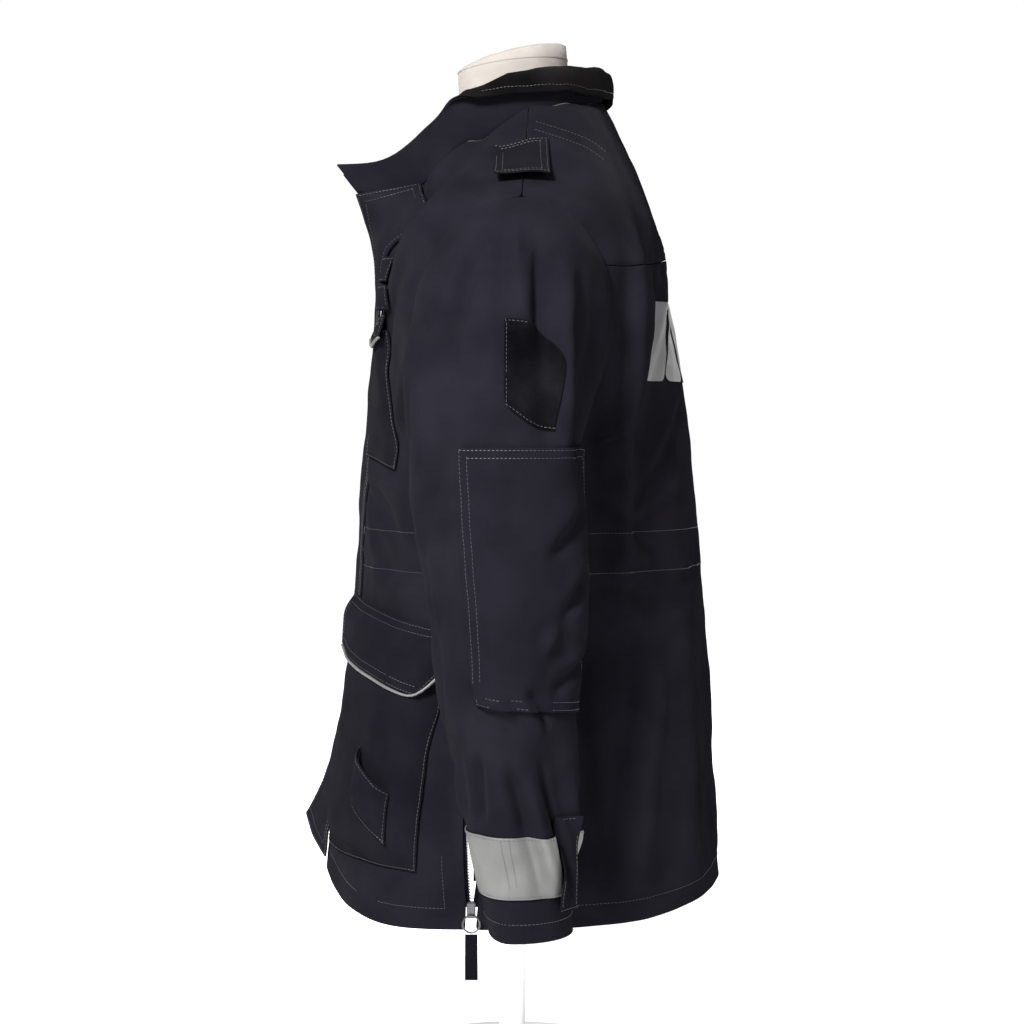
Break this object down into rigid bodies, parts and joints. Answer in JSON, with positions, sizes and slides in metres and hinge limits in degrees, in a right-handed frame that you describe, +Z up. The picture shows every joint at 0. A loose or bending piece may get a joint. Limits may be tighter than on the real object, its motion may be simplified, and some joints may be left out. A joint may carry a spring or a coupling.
{
  "type": "police uniform jacket on a limbless dress form stand",
  "caption": "Navy police uniform jacket with a fleece-lined collar, flapped pockets, reflective cuff bands and zipped side vents, worn by a limbless linen dress form on a steel stand",
  "frame": {"origin": "on the floor, at the middle of the stand's base and under its pole", "axes": "+Z up; the wearer faces -Y; the wearer's left is +X"},
  "size_m": [0.625, 0.396, 0.9734],
  "materials": {
    "shell_cloth": "matte navy twill weave with a faint sheen",
    "patch_cloth": "matte coated navy weave",
    "pocket_cloth": "matte navy weave",
    "hook_and_loop": "ribbed black loop pile",
    "reflective_tape": "silver glass-bead tape, dull and even",
    "reflective_piping": "light silver bead cord",
    "fleece": "napped dark fleece",
    "zip_tape": "woven black tape",
    "zip_metal": "dark nickel, softly polished",
    "pull_webbing": "woven black webbing",
    "form_linen": "cream linen, tight and smooth",
    "stand_steel": "satin steel"
  },
  "bodies": {
    "jacket": {"back_panel": "shell_cloth", "back_yoke": "shell_cloth", "chest_flap_left": "pocket_cloth", "chest_flap_right": "pocket_cloth", "chest_loop_lower_left": "pocket_cloth", "chest_loop_lower_right": "pocket_cloth", "chest_loop_upper_left": "pocket_cloth", "chest_loop_upper_right": "pocket_cloth", "chest_piping_left": "reflective_piping", "chest_piping_right": "reflective_piping", "chest_pocket_left": "pocket_cloth", "chest_pocket_right": "pocket_cloth", "collar_fleece": "fleece", "collar_shell": "shell_cloth", "cuff_band_left": "reflective_tape", "cuff_band_right": "reflective_tape", "cuff_tab_left": "patch_cloth", "cuff_tab_right": "patch_cloth", "dress_form": "form_linen", "elbow_patch_left": "patch_cloth", "elbow_patch_right": "patch_cloth", "epaulette_left": "pocket_cloth", "epaulette_right": "pocket_cloth", "front_left": "shell_cloth", "front_right": "shell_cloth", "front_zip_slider": "zip_metal", "front_zip_tape_left": "zip_tape", "front_zip_tape_right": "zip_tape", "lower_flap_left": "pocket_cloth", "lower_flap_right": "pocket_cloth", "lower_piping_left": "reflective_piping", "lower_piping_right": "reflective_piping", "lower_pocket_left": "pocket_cloth", "lower_pocket_right": "pocket_cloth", "side_slider_left": "zip_metal", "side_slider_right": "zip_metal", "side_zip_back_tape_left": "zip_tape", "side_zip_back_tape_right": "zip_tape", "side_zip_front_tape_left": "zip_tape", "side_zip_front_tape_right": "zip_tape", "sleeve_hook_patch_left": "hook_and_loop", "sleeve_hook_patch_right": "hook_and_loop", "sleeve_left": "shell_cloth", "sleeve_right": "shell_cloth", "small_pocket_left": "pocket_cloth", "small_pocket_right": "pocket_cloth", "stand_base": "stand_steel", "stand_flange": "stand_steel", "stand_pole": "stand_steel", "storm_flap": "shell_cloth"},
    "side_pull_left": {"side_pull_left_ring": "zip_metal", "side_pull_left_tape": "pull_webbing"},
    "side_pull_right": {"side_pull_right_ring": "zip_metal", "side_pull_right_tape": "pull_webbing"}
  },
  "joints": [
    {"name": "side_pull_left_swing", "type": "hinge", "parent": "jacket", "child": "side_pull_left", "pos_m": [0.19601, -0.03528, 0.192], "axis": [0, -1, 0], "range_deg": [0, 90]},
    {"name": "side_pull_right_swing", "type": "hinge", "parent": "jacket", "child": "side_pull_right", "pos_m": [-0.19601, -0.03528, 0.192], "axis": [0, 1, 0], "range_deg": [0, 90]}
  ]
}
